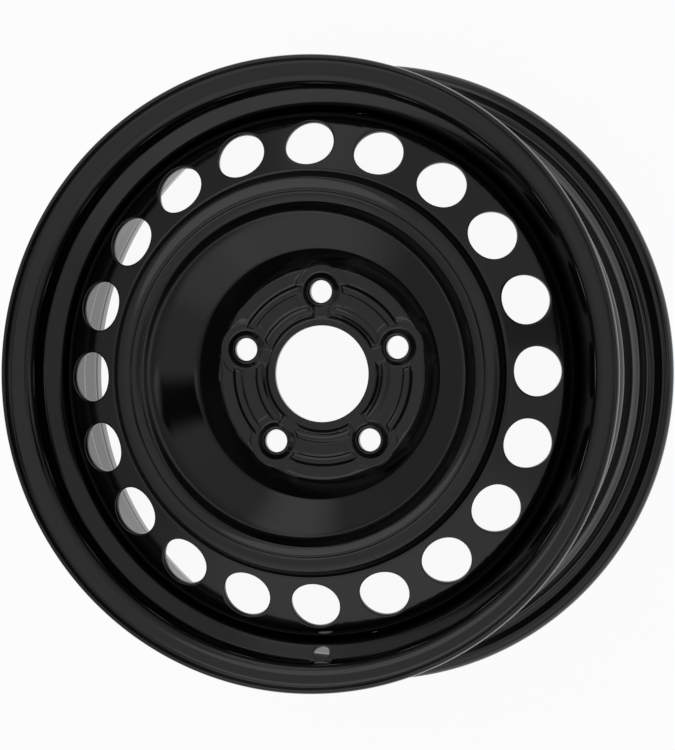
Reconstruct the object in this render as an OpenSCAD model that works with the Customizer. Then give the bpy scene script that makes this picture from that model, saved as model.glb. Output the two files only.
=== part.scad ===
// Pressed steel road wheel: a rolled rim, a pressed disc and the weld beads that join them.
// The wheel's axis is Z, its middle plane is at Z = 0 and its outboard side is up.
// Heights on the disc are given above the mounting face, which is inset from the middle plane.

/* [Rim] */
// Bead seat diameter
rim_d = 405.6; // [396:0.1:432]
// Width between the two flanges, on the tyre side
rim_w = 165.1; // [152.4:0.1:203.2]
// Sheet thickness of the rim
rim_sheet = 2.7; // [2.4:0.1:3.2]
// Height of the flanges above the bead seat
flange_h = 17.5; // [16:0.1:19]
// Radius of the flange curl, on the tyre side
curl_r = 7.5; // [6.5:0.1:9]
// Angle that the lip runs on past the top of the curl
lip_angle = 21.5; // [10:0.5:35]
// Bend radius at the heel of the bead seat
heel_r = 6.5; // [5:0.1:7]
// Taper of the bead seats
seat_taper = 5; // [4:0.5:6]
// Width of the front bead seat, up to its hump
front_seat_w = 15; // [14:0.1:17]
// Width of the rear bead seat, up to its hump
rear_seat_w = 18; // [16:0.1:21]
// Height of the safety humps above the bead seats
hump_h = 1; // [0.6:0.1:1.4]
// Half length of a safety hump along the axis
hump_run = 4.5; // [4:0.1:5.5]
// Depth of the well below the bead seat
well_h = 17.3; // [15:0.1:20]
// Lean of the well's front wall from the radial direction
well_lean = 29; // [24:0.5:32]
// Length of the well's floor between its two walls
well_floor = 38; // [36:0.5:46]
// Slope of the well's rear wall from the axis
well_rise = 22; // [18:0.5:28]
// Depth of the plain barrel below the bead seat
barrel_h = 3.3; // [2:0.1:5]

/* [Disc] */
// Sheet thickness of the disc
disc_sheet = 4; // [3.4:0.1:4.4]
// Inset from the rim's middle plane to the mounting face
inset = 43; // [38:0.5:48]
// Diameter of the hub bore
bore_d = 67.1; // [64:0.1:69]
// Chamfer on the back of the hub bore
bore_chamfer = 1; // [0.5:0.1:1.4]
// Height of the collar round the hub bore above the pad
collar_h = 3; // [2.4:0.1:3.4]
// Diameter of the groove round the collar
groove_d = 83.2; // [81:0.1:84]
// Diameter of the inner ridge
inner_ridge_d = 90.4; // [89:0.1:92]
// Height of the inner ridge above the pad
inner_ridge_h = 2.7; // [2:0.1:3]
// Diameter of the outer ridge
outer_ridge_d = 119; // [117:0.1:121]
// Height of the outer ridge above the pad
outer_ridge_h = 1.6; // [1.2:0.1:2]
// Width of the ridges on either side of their tops
ridge_run = 3.8; // [3.4:0.1:4]
// Height of the channel between the ridges above the pad
channel_h = 0.6; // [0.4:0.1:0.9]
// Diameter at the inside of the flat pad
pad_inner_d = 129.2; // [127:0.1:131]
// Diameter at the foot of the bowl
pad_outer_d = 146.2; // [144:0.1:148]
// Diameter where the steep foot of the bowl gives way to its cone
knee_d = 174; // [168:0.5:180]
// Height of that knee above the mounting face
knee_z = 20.4; // [18:0.1:22]
// Diameter where the bowl's cone turns up to the crown
bowl_d = 220.4; // [216:0.1:224]
// Height of that turn above the mounting face
bowl_z = 35.5; // [34:0.1:37]
// Diameter of the crown's inner edge
crown_inner_d = 239.2; // [237:0.1:242]
// Diameter of the crown's outer edge
crown_outer_d = 272.6; // [268:0.1:274]
// Height of the crown's edges above the mounting face
crown_edge_z = 46.6; // [45:0.1:48]
// Rise of the crown's middle corner over its edges
crown_rise = 4; // [3:0.1:5]
// Height of the step down from the crown to the vent band
step_h = 4.4; // [3:0.1:5.5]
// Slope of the vent band
band_slope = 28.4; // [24:0.1:31]
// Bend radius at the turn from the bowl to the crown
bowl_bend = 60; // [40:1:66]
// Bend radius over the top of the crown
crown_bend = 18; // [14:0.5:20]
// Bend radius between the vent band and the flange
flange_bend = 16; // [13:0.5:17]
// Depth of the disc's flange behind the mounting face
flange_depth = 13; // [8:0.5:14]

/* [Vents] */
// Number of vent holes
vent_count = 20; // [12:1:22]
// Diameter of a vent hole
vent_d = 34.3; // [26:0.1:36]
// Diameter of the circle of vent holes
vent_circle = 320.4; // [318:0.1:322]

/* [Lugs] */
// Number of lug holes
lug_count = 5; // [4:1:6]
// Diameter of the lug circle
lug_circle = 114.3; // [112:0.1:115]
// Diameter of a lug hole
lug_hole_d = 15.8; // [14:0.1:16.4]
// Diameter at the top of the lug's cone seat
seat_top_d = 18.4; // [17.6:0.1:19]
// Included angle of the lug's cone seat
seat_angle = 60; // [50:1:90]
// Diameter of the flat top of a lug boss
boss_top_d = 20.4; // [20:0.1:21]
// Diameter at the foot of a lug boss
boss_foot_d = 29; // [27:0.1:31]
// Height of a lug boss above the pad
boss_h = 3.4; // [2.6:0.1:4]
// Diameter of the flat land round a lug
land_d = 37; // [35:0.1:38]
// Height of that land above the channel
land_h = 0.2; // [0.1:0.05:0.4]
// Width of the bridge from a lug to the collar
bridge_w = 9; // [7:0.1:11]

/* [Valve] */
// Diameter of the valve hole
valve_d = 11.3; // [9.7:0.1:11.7]

/* [Welds] */
// Number of weld beads
weld_count = 10; // [6:1:14]
// Angle that one weld bead runs round the well
weld_angle = 16; // [8:0.5:22]
// Leg of the weld's fillet
weld_leg = 3.6; // [3:0.1:4.2]

/* [Fits] */
// Gap left by the press fit and under the welds
press_gap = 0.05; // [0.02:0.01:0.1]

/* [Hidden] */
$fn = 180;
// Largest turn between two points of a rounded bend
bend_step = 10;
// Smallest bend radius left on the inside of a bend
least_bend = 0.4;
// Bend radius of a crease, of a small pressed edge and of a soft pressed edge
crease = 0.8;
small_bend = 1.2;
soft_bend = 3;
// Overshoot of every cutting tool
over = 1;
steel_black = "#1b1c1e";
weld_black = "#242527";

// Rim sizes that follow from the ones above
seat_r = rim_d / 2;
flange_r = seat_r + flange_h;
front_z = rim_w / 2;
rear_z = -rim_w / 2;
lip_run = curl_r * tan(lip_angle / 2);
front_seat_r = seat_r - front_seat_w * tan(seat_taper);
rear_seat_r = seat_r - rear_seat_w * tan(seat_taper);
well_r = seat_r - well_h;
well_inner_r = well_r - rim_sheet;
barrel_r = seat_r - barrel_h;
front_crest = [front_seat_r + hump_h, front_z - front_seat_w - hump_run];
rear_crest = [rear_seat_r + hump_h, rear_z + rear_seat_w + hump_run];
well_front_z = front_crest[1] - (front_crest[0] - well_r) * tan(well_lean);
well_rear_z = well_front_z - well_floor;
barrel_z = well_rear_z - (barrel_r - well_r) / tan(well_rise);

// Disc sizes that follow from the ones above
bore_r = bore_d / 2;
pad_z = disc_sheet;
disc_flange_r = well_inner_r - press_gap;
crown_inner_r = crown_inner_d / 2;
crown_outer_r = crown_outer_d / 2;
step_r = crown_outer_r + step_h;
step_z = crown_edge_z - step_h;
function band_z(r) = step_z - (r - step_r) * tan(band_slope);
lug_r = lug_circle / 2;
land_z = pad_z + channel_h + land_h;
boss_z = pad_z + boss_h;
bridge_z = pad_z + inner_ridge_h - channel_h;
// Heights inside the hub's sheet: the underside of the bosses, and the floor of the room cleared for them
core_z = (pad_z + collar_h) / 2;
room_z = (pad_z + core_z) / 2;

// Vectors and rounded outlines
function unit(v) = v / norm(v);
function left_of(v) = [-v[1], v[0]];
function turned(v, a) = [v[0] * cos(a) - v[1] * sin(a), v[0] * sin(a) + v[1] * cos(a)];
function flat(p) = [p[0], p[1]];
function reverse(list) = [for (i = [len(list) - 1 : -1 : 0]) list[i]];

// Arc of one bend: corner b between a and c, each corner given as [radius, height, bend radius]
function bend(a, b, c) =
    let (u = unit(flat(b) - flat(a)), w = unit(flat(c) - flat(b)))
    let (side = sign(cross(u, w)), angle = acos(min(1, u * w)))
    let (start = flat(b) - u * b[2] * tan(angle / 2), steps = max(1, ceil(angle / bend_step)))
    let (centre = start + left_of(u) * side * b[2])
    [for (i = [0 : steps]) centre + turned(start - centre, side * angle * i / steps)];

// Outline through a list of corners with every bend rounded
function rounded(corners) = let (last = len(corners) - 1) concat(
    [flat(corners[0])],
    [for (i = [1 : last - 1]) each bend(corners[i - 1], corners[i], corners[i + 1])],
    [flat(corners[last])]);

// The same corners on the other face of a sheet, t to the right of the outline
function other_face(corners, t) = let (last = len(corners) - 1)
    [for (i = [0 : last])
        let (u = unit(flat(corners[max(i, 1)]) - flat(corners[max(i, 1) - 1])))
        let (w = unit(flat(corners[min(i, last - 1) + 1]) - flat(corners[min(i, last - 1)])))
        let (n = left_of(u), m = left_of(w), p = flat(corners[i]) - (n + m) * t / (1 + n * m))
        [p[0], p[1], max(least_bend, corners[i][2] + sign(cross(u, w)) * t)]];

// Half-round end of a sheet from point p to point q, bulging out of the sheet
function round_end(p, q) = let (c = (p + q) / 2)
    [for (a = [bend_step : bend_step : 180 - bend_step]) c + turned(p - c, -a)];

// Tyre side of the rim, from the front lip to the rear lip
front_lip = [flange_r, front_z + curl_r + lip_run];
rear_lip = [flange_r, rear_z - curl_r - lip_run];
rim_corners = [
    concat(front_lip + turned([0, lip_run], lip_angle), 0),
    [front_lip[0], front_lip[1], curl_r],
    [flange_r, front_z, curl_r],
    [seat_r, front_z, heel_r],
    [front_seat_r, front_z - front_seat_w, hump_run],
    [front_crest[0], front_crest[1], rim_sheet + least_bend],
    [well_r, well_front_z, 3 * rim_sheet],
    [well_r, well_rear_z, 4 * rim_sheet],
    [barrel_r, barrel_z, 4 * rim_sheet],
    [barrel_r, rear_crest[1] + hump_run, hump_run],
    [rear_crest[0], rear_crest[1], rim_sheet + least_bend],
    [rear_seat_r, rear_z + rear_seat_w, hump_run],
    [seat_r, rear_z, heel_r],
    [flange_r, rear_z, curl_r],
    [rear_lip[0], rear_lip[1], curl_r],
    concat(rear_lip + turned([0, -lip_run], -lip_angle), 0)];

module rim_section() {
    tyre_side = rounded(rim_corners);
    inner_side = reverse(rounded(other_face(rim_corners, rim_sheet)));
    last = len(inner_side) - 1;
    polygon(concat(
        tyre_side,
        round_end(tyre_side[len(tyre_side) - 1], inner_side[0]),
        inner_side,
        round_end(inner_side[last], tyre_side[0])));
}

// Middle of the well's front wall on its tyre side, where the valve hole is drilled
valve_at = (front_crest + [well_r, well_front_z]) / 2 + unit(front_crest - [well_r, well_front_z]);

module valve_hole() {
    translate([0, -valve_at[0], valve_at[1]]) rotate([-well_lean, 0, 0])
        cylinder(d = valve_d, h = 6 * rim_sheet, center = true);
}

module rim() {
    color(steel_black) difference() {
        rotate_extrude() rim_section();
        valve_hole();
    }
}

// Front face of the disc's hub, from inside the bore to the pad
inner_ridge_r = inner_ridge_d / 2;
outer_ridge_r = outer_ridge_d / 2;
hub_corners = [
    [bore_r - 2 * over, pad_z + collar_h, 0],
    [bore_r + disc_sheet, pad_z + collar_h, 2 * disc_sheet],
    [groove_d / 2, pad_z + channel_h / 2, crease],
    [inner_ridge_r, pad_z + inner_ridge_h, disc_sheet],
    [inner_ridge_r + ridge_run, pad_z + channel_h, soft_bend],
    [outer_ridge_r - ridge_run / 2, pad_z + channel_h, crease],
    [outer_ridge_r - crease, pad_z + outer_ridge_h, small_bend],
    [outer_ridge_r + ridge_run / 2, pad_z + outer_ridge_h, disc_sheet],
    [pad_inner_d / 2, pad_z, crease]];

// Back face of the hub: relieved behind the collar and the ridges, flat behind the pad
hub_back = [
    [bore_r - 2 * over, collar_h, 0],
    [bore_r + disc_sheet, collar_h, disc_sheet],
    [groove_d / 2, channel_h, disc_sheet],
    [outer_ridge_r, channel_h, soft_bend],
    [pad_inner_d / 2, 0, soft_bend]];

// Front face of the disc from the pad to the end of its flange
dish_corners = [
    [pad_inner_d / 2, pad_z, crease],
    [pad_outer_d / 2, pad_z, soft_bend],
    [knee_d / 2, knee_z, 3 * disc_sheet],
    [bowl_d / 2, bowl_z, bowl_bend],
    [crown_inner_r, crown_edge_z, disc_sheet + small_bend],
    [(crown_inner_r + crown_outer_r) / 2, crown_edge_z + crown_rise, crown_bend],
    [crown_outer_r, crown_edge_z, disc_sheet + small_bend],
    [step_r, step_z, soft_bend],
    [disc_flange_r, band_z(disc_flange_r), flange_bend],
    [disc_flange_r, -flange_depth, 0]];

module disc_section() {
    dish_front = [for (i = [1 : len(dish_corners) - 1]) dish_corners[i]];
    dish_back = other_face(dish_corners, disc_sheet);
    back = concat(hub_back, [for (i = [1 : len(dish_back) - 1]) dish_back[i]]);
    polygon(concat(rounded(concat(hub_corners, dish_front)), reverse(rounded(back))));
}

// Copies of a child at every lug, the first on +Y
module at_lugs() {
    for (i = [0 : lug_count - 1])
        rotate(90 + i * 360 / lug_count) translate([lug_r, 0, 0]) children();
}

// Room cleared round a lug: the ridges stop at the boss, the foot of the bowl at the land
module lug_room() {
    clear_h = knee_z - room_z;
    translate([0, 0, room_z]) {
        cylinder(d1 = boss_foot_d, d2 = boss_foot_d + 2 * clear_h, h = clear_h);
        intersection() {
            cylinder(d = land_d - crease, h = clear_h);
            translate([pad_inner_d / 2 - lug_r, -land_d, -over]) cube([land_d, 2 * land_d, clear_h + 2 * over]);
        }
    }
}

// Raised boss of a lug with the flat land at its foot
module lug_boss() {
    rotate_extrude() polygon([
        [0, core_z],
        [land_d / 2, core_z],
        [land_d / 2, land_z],
        [boss_foot_d / 2, land_z],
        [boss_top_d / 2 + crease, boss_z - crease],
        [boss_top_d / 2, boss_z],
        [0, boss_z]]);
}

// Bridge from a lug's boss over the groove to the collar
module lug_bridge() {
    reach = lug_r - bore_r - disc_sheet;
    translate([-reach, 0, room_z]) rotate([90, 0, 90])
        linear_extrude(reach - boss_top_d / 2)
        polygon([
            [-bridge_w, 0],
            [bridge_w, 0],
            [bridge_w / 2, bridge_z - room_z],
            [-bridge_w / 2, bridge_z - room_z]]);
}

// Lug hole with its cone seat in front and its relief behind
module lug_hole() {
    seat_slope = tan(seat_angle / 2);
    seat_h = (seat_top_d - lug_hole_d) / 2 / seat_slope;
    translate([0, 0, -over]) cylinder(d = lug_hole_d, h = boss_z + 2 * over);
    translate([0, 0, boss_z - seat_h])
        cylinder(d1 = lug_hole_d, d2 = seat_top_d + 2 * over * seat_slope, h = seat_h + over);
    translate([0, 0, -over]) cylinder(d1 = boss_foot_d - disc_sheet + over, d2 = boss_top_d, h = boss_h);
}

module hub_bore() {
    translate([0, 0, -over]) cylinder(r = bore_r, h = disc_sheet + collar_h + 2 * over);
    translate([0, 0, collar_h - over])
        cylinder(r1 = bore_r + bore_chamfer + over, r2 = bore_r, h = bore_chamfer + over);
}

// Vent holes punched square to the vent band, one in line with the first lug
module vents() {
    for (i = [0 : vent_count - 1])
        rotate(90 + i * 360 / vent_count) translate([vent_circle / 2, 0, band_z(vent_circle / 2)])
            rotate([0, band_slope, 0]) cylinder(d = vent_d, h = 4 * disc_sheet, center = true);
}

module disc() {
    color(steel_black) translate([0, 0, inset]) difference() {
        union() {
            difference() {
                rotate_extrude() disc_section();
                at_lugs() lug_room();
            }
            at_lugs() lug_boss();
            at_lugs() lug_bridge();
        }
        at_lugs() lug_hole();
        hub_bore();
        vents();
    }
}

// Quarter-round fillet in the corner between the end of the disc's flange and the well
weld_r = well_inner_r - press_gap;
weld_z = -flange_depth - press_gap;

module weld_section() {
    translate([weld_r, weld_z]) intersection() {
        circle(r = weld_leg);
        translate([-weld_leg - over, -weld_leg - over]) square(weld_leg + over);
    }
}

module weld_beads() {
    color(weld_black) translate([0, 0, inset])
        for (i = [0 : weld_count - 1])
            rotate(i * 360 / weld_count - weld_angle / 2)
                rotate_extrude(angle = weld_angle) weld_section();
}

rim();
disc();
weld_beads();
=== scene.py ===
"""Looks of a pressed steel road wheel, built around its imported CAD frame.

The rim and the disc are formed sheets, so each is made as a fine sheet with two faces: a section
that turns about the wheel's axis, with round holes let into it. One sector of each is meshed here,
and a Geometry Nodes tree repeats it round the axis.
"""

from __future__ import annotations

import logging
import math
from collections.abc import Callable
from dataclasses import dataclass, field
from enum import Enum
from typing import Any

import bmesh
import bpy
import numpy as np
from mathutils import Matrix, Vector

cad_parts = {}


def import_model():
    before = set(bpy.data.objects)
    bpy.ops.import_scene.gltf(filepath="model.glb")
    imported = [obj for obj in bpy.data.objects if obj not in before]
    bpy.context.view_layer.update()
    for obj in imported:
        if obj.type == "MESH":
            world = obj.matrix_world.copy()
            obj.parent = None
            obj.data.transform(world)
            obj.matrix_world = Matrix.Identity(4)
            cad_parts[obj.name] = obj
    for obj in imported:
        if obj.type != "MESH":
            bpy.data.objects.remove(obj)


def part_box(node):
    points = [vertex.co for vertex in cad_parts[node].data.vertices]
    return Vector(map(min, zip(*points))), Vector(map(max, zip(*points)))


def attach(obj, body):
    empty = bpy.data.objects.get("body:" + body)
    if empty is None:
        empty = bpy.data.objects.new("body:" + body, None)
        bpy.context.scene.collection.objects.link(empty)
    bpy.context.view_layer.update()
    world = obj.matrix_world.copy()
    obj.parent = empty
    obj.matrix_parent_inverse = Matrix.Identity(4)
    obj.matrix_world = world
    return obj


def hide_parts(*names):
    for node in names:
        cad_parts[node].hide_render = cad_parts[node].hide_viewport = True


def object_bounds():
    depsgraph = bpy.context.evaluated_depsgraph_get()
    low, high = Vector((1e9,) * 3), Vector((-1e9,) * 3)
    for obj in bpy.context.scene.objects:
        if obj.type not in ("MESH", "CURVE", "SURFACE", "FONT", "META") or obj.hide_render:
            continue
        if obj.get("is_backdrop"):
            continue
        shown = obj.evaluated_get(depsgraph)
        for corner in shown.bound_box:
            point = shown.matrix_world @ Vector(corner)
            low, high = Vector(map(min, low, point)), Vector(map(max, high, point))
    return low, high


log = logging.getLogger("wheel")

MM = 0.001

Triple = tuple[float, float, float]
Array = np.ndarray
Tree = bpy.types.NodeTree
Socket = bpy.types.NodeSocket


class Side(Enum):
    """Face of a sheet, by the side of its outline that is out of the sheet: left or right."""

    NEAR = 1.0
    FAR = -1.0


class Ramp(Enum):
    """How a level runs between its two ends."""

    EVEN = "LINEAR"
    SOFT = "SMOOTHSTEP"


# Outlines of formed sheet

BEND_STEP = 5.0
LEAST_BEND = 0.4
LEAST_TURN = 1e-9
LEAST_STEP = 1e-6
CREASE_POINTS = 9
SEARCH_STEPS = 20


def tan(degrees: float) -> float:
    """Tangent of an angle in degrees."""
    return math.tan(math.radians(degrees))


def unit(v: Array) -> Array:
    """The vector at length one."""
    return v / np.linalg.norm(v)


def left_of(v: Array) -> Array:
    """The vector turned a quarter turn to the left."""
    return np.array([-v[1], v[0]])


def turned(v: Array, degrees: float) -> Array:
    """The vector turned to the left by an angle in degrees."""
    c, s = math.cos(math.radians(degrees)), math.sin(math.radians(degrees))
    return np.array([v[0] * c - v[1] * s, v[0] * s + v[1] * c])


def rounded(corners: list[Triple]) -> Array:
    """Draw an outline through corners, with every bend as an arc.

    Args:
        corners: Radius, height and bend radius of each corner, in mm.

    Returns:
        Points of the outline, one row each.
    """
    points = [np.array(corners[0][:2])]
    for before, here, after in zip(corners, corners[1:], corners[2:]):
        a, b, c = (np.array(p[:2], float) for p in (before, here, after))
        u, w = unit(b - a), unit(c - b)
        side = math.copysign(1.0, u[0] * w[1] - u[1] * w[0])
        angle = math.degrees(math.acos(min(1.0, float(u @ w))))
        start = b - u * here[2] * tan(angle / 2)
        centre = start + left_of(u) * side * here[2]
        steps = max(1, math.ceil(angle / BEND_STEP))
        points += [
            centre + turned(start - centre, side * angle * i / steps) for i in range(steps + 1)]
    points.append(np.array(corners[-1][:2]))
    return np.array(points)


def other_face(corners: list[Triple], sheet: float) -> list[Triple]:
    """Find the corners on the other face of a sheet.

    Args:
        corners: Corners of one face.
        sheet: Thickness of the sheet, measured to the right of the outline, in mm.

    Returns:
        Corners of the face behind.
    """
    flat = np.array([corner[:2] for corner in corners], float)
    ways = [unit(b - a) for a, b in zip(flat, flat[1:])]
    moved: list[Triple] = []
    for i, here in enumerate(corners):
        u, w = ways[max(i - 1, 0)], ways[min(i, len(ways) - 1)]
        n, m = left_of(u), left_of(w)
        p = flat[i] - (n + m) * sheet / (1 + n @ m)
        turn = u[0] * w[1] - u[1] * w[0]
        bend = here[2] + (math.copysign(sheet, turn) if abs(turn) > LEAST_TURN else 0.0)
        moved.append((float(p[0]), float(p[1]), max(LEAST_BEND, bend)))
    return moved


def creased(points: Array, radius: float, depth: float, half: float) -> Array:
    """Press a fine crease with round shoulders into an outline.

    Args:
        points: Points of the outline, which runs outwards there.
        radius: Radius of the crease's middle, in mm.
        depth: Depth of the crease, in mm.
        half: Half of its width, in mm.

    Returns:
        The outline with the crease.
    """
    last = int(np.argmax(points[:, 0] > radius + half))
    first = last - int(np.argmax(points[last::-1, 0] < radius - half))
    shift = np.linspace(-half, half, CREASE_POINTS)
    low = np.interp(radius + shift, points[first:last + 1, 0], points[first:last + 1, 1])
    pressed = low - depth * (1 - np.sin(math.pi / 2 * np.abs(shift) / half))
    crease = np.stack([radius + shift, pressed], axis=1)
    return np.concatenate([points[:first + 1], crease, points[last:]])


def spaced(values: Array, least: float) -> Array:
    """Thin a rising row of values to a least spacing, and keep both ends.

    Args:
        values: Rising values.
        least: Least spacing between two of them.

    Returns:
        The values that stay.
    """
    kept = [float(values[0])]
    for value in values[1:-1]:
        if value - kept[-1] >= least and values[-1] - value >= least:
            kept.append(float(value))
    return np.array([*kept, float(values[-1])])


class Outline:
    """A rounded outline that is read by the length run along it."""

    def __init__(self, points: Array) -> None:
        """Keep an outline without doubled points.

        Args:
            points: Points of the outline, one row each.
        """
        step = np.linalg.norm(np.diff(points, axis=0), axis=1)
        self.points = points[np.concatenate([[True], step > LEAST_STEP])]
        step = np.linalg.norm(np.diff(self.points, axis=0), axis=1)
        self.run = np.concatenate([[0.0], np.cumsum(step)])

    def at(self, run: Array) -> Array:
        """Points at lengths along the outline."""
        return np.stack([np.interp(run, self.run, self.points[:, k]) for k in (0, 1)], axis=-1)

    def normal(self, run: Array, reach: float = 0.3) -> Array:
        """Find unit normals to the left of the outline.

        Args:
            run: Lengths along the outline, in mm.
            reach: How far to each side of a length the outline is looked at, in mm.

        Returns:
            One normal for each length.
        """
        way = self.at(run + reach) - self.at(run - reach)
        way = way / np.linalg.norm(way, axis=-1, keepdims=True)
        return np.stack([-way[..., 1], way[..., 0]], axis=-1)

    def run_at_radius(self, radius: float) -> float:
        """Find where the outline first passes a radius on its way out.

        Args:
            radius: The radius, in mm.

        Returns:
            Length along the outline, in mm.
        """
        r = self.points[:, 0]
        i = int(np.argmax((r[1:] >= radius) & (r[:-1] < radius)))
        share = (radius - r[i]) / (r[i + 1] - r[i])
        return float(self.run[i] + share * (self.run[i + 1] - self.run[i]))

    def run_near(self, point: Array) -> float:
        """Length at which the outline comes nearest to a point."""
        fine = np.linspace(0.0, self.run[-1], SEARCH_STEPS * len(self.run))
        return float(fine[np.argmin(np.linalg.norm(self.at(fine) - point, axis=1))])

    def rows(self, start: float, end: float, longest: float, least: float) -> Array:
        """Split a stretch of the outline into rows.

        Args:
            start: Length where the stretch starts, in mm.
            end: Length where it ends, in mm.
            longest: Longest step between two rows, in mm.
            least: Least step between two rows, in mm.

        Returns:
            Lengths of the rows, with the bends' own points among them.
        """
        inner = self.run[(self.run > start) & (self.run < end)]
        marks = spaced(np.concatenate([[start], inner, [end]]), least)
        rows: list[float] = []
        for a, b in zip(marks[:-1], marks[1:]):
            count = max(1, math.ceil((b - a) / longest))
            rows += [a + (b - a) * i / count for i in range(count)]
        return np.array(rows + [end])


# Mesh drafts

class Draft:
    """Points and faces of a mesh that is being built, in mm."""

    def __init__(self) -> None:
        """Start with no points."""
        self.points: list[Array] = []
        self.faces: list[list[int]] = []
        self.count = 0

    def add(self, points: Array) -> Array:
        """Add points in a grid of any shape.

        Args:
            points: The points, with their coordinates on the last axis.

        Returns:
            Numbers of the points, in the grid's shape.
        """
        flat = points.reshape(-1, 3)
        self.points.append(flat)
        numbers = np.arange(self.count, self.count + len(flat)).reshape(points.shape[:-1])
        self.count += len(flat)
        return numbers

    def grid(self, numbers: Array, flip: bool = False, keep: Array | None = None) -> None:
        """Fill a grid of points with quads.

        Args:
            numbers: Point numbers, rows by columns.
            flip: Whether the faces point the other way.
            keep: Which cells are filled; all of them if left out.
        """
        cells = np.stack(
            [numbers[:-1, :-1], numbers[:-1, 1:], numbers[1:, 1:], numbers[1:, :-1]], axis=-1)
        cells = cells[keep] if keep is not None else cells.reshape(-1, 4)
        self.faces += (cells[:, ::-1] if flip else cells).tolist()

    def grid_round(self, numbers: Array, rows: tuple[int, int], columns: tuple[int, int],
                   flip: bool) -> tuple[Array, Array]:
        """Fill a grid of points with quads, and leave out a block of it.

        Args:
            numbers: Point numbers, rows by columns.
            rows: First and last row of the block.
            columns: First and last column of the block.
            flip: Whether the faces point the other way.

        Returns:
            Row and column numbers of the points round the block, columns first.
        """
        keep = np.ones((len(numbers) - 1, len(numbers[0]) - 1), bool)
        keep[slice(*rows), slice(*columns)] = False
        self.grid(numbers, flip, keep)
        (r0, r1), (c0, c1) = rows, columns
        walk = [(r0, c) for c in range(c0, c1)] + [(r, c1) for r in range(r0, r1)]
        walk += [(r1, c) for c in range(c1, c0, -1)] + [(r, c0) for r in range(r1, r0, -1)]
        return tuple(np.array(walk).T)

    def loops(self, loops: list[Array], flip: bool = False) -> None:
        """Fill the bands between closed loops of equal length."""
        closed = np.stack([np.append(loop, loop[0]) for loop in loops])
        self.grid(closed, flip)

    def band(self, loops: tuple[Array, ...], bearings: tuple[Array, ...],
             flip: bool = False) -> None:
        """Fill the band between two closed loops of any lengths with triangles.

        Args:
            loops: Point numbers of the two loops.
            bearings: Bearings of their points, which run the same way round.
            flip: Whether the faces point the other way.
        """
        turns = [np.abs(np.unwrap(b) - b[0]) for b in bearings]
        one, other = (np.append(loop, loop[0]) for loop in loops)
        steps = [np.append(turn[1:], 2 * math.pi) for turn in turns]
        i = j = 0
        while i < len(steps[0]) or j < len(steps[1]):
            on_one = j == len(steps[1]) or (i < len(steps[0]) and steps[0][i] <= steps[1][j])
            face = [one[i], one[i + 1], other[j]] if on_one else [one[i], other[j + 1], other[j]]
            self.faces.append([int(n) for n in (face[::-1] if flip else face)])
            i, j = (i + 1, j) if on_one else (i, j + 1)

    def mesh(self, name: str) -> bpy.types.Mesh:
        """Make a Blender mesh of the draft.

        Args:
            name: Name of the mesh.

        Returns:
            The mesh, in metres.
        """
        mesh = bpy.data.meshes.new(name)
        mesh.from_pydata((np.concatenate(self.points) * MM).tolist(), [], self.faces)
        mesh.update()
        return mesh


def around(points: Array, angles: Array) -> Array:
    """Turn section points about the wheel's axis.

    Args:
        points: Radius and height of each point, in mm.
        angles: Angles in radians, of a shape that fits the points.

    Returns:
        Points in space.
    """
    r, z = points[..., 0], points[..., 1]
    return np.stack(np.broadcast_arrays(r * np.cos(angles), r * np.sin(angles), z), axis=-1)


@dataclass
class DrilledSector:
    """Sector of a turned sheet with a round hole in its middle: both faces and the hole's wall."""

    draft: Draft
    angles: Array
    radius: float
    room: float
    rows: int
    columns: int
    edge: float
    rings: int = 4
    crowding: float = 1.4
    edge_steps: int = 3
    rims: dict[Side, Array] = field(default_factory=dict)

    def face(self, outline: Outline, point: Array, steps: Triple,
             side: Side) -> tuple[Array, Array]:
        """Mesh one face with its hole.

        Args:
            outline: Section of this face.
            point: Middle of the hole in the section.
            steps: Length where the rows start, and their longest and least steps, in mm.
            side: Which face of the sheet this is.

        Returns:
            Numbers of the face's grid of points, and the lengths of its rows.
        """
        draft, flip = self.draft, side is Side.NEAR
        start, longest, least = steps
        centre = outline.run_near(point)
        block = np.linspace(centre - self.room, centre + self.room, self.rows + 1)
        before = outline.rows(start, block[0], longest, least)[:-1]
        after = outline.rows(block[-1], outline.run[-1], longest, least)[1:]
        rows = np.concatenate([before, block, after])
        numbers = draft.add(around(outline.at(rows)[:, None, :], self.angles[None, :]))
        first, middle, spread = len(before), len(self.angles) // 2, self.columns // 2
        r, c = draft.grid_round(
            numbers, (first, first + self.rows), (middle - spread, middle + spread), flip)
        edge_v = rows[r] - centre
        edge_u = self.angles[c] * outline.at(rows[r])[:, 0]
        bearing = np.arctan2(edge_v, edge_u)
        across, along = np.cos(bearing), np.sin(bearing)
        outer = self.radius + self.edge
        shares = [(k / self.rings) ** self.crowding for k in range(self.rings - 1, -1, -1)]
        shifts = [
            ((1 - s) * outer * across + s * edge_u, (1 - s) * outer * along + s * edge_v, 0.0)
            for s in shares]
        for turn in np.linspace(0, math.pi / 2, self.edge_steps + 1)[1:]:
            reach = outer - self.edge * math.sin(turn)
            shifts.append((reach * across, reach * along, self.edge * (1 - math.cos(turn))))
        loops = [numbers[r, c]]
        for u, v, depth in shifts:
            section = outline.at(centre + v)
            sunk = section - side.value * depth * outline.normal(centre + v)
            loops.append(draft.add(around(sunk, u / section[:, 0])))
        draft.loops(loops, flip=flip)
        self.rims[side] = loops[-1]
        return numbers, rows

    def wall(self) -> None:
        """Join the two faces through the hole."""
        self.draft.loops([self.rims[Side.NEAR], self.rims[Side.FAR]], flip=True)


# The wheel's pieces

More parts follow.
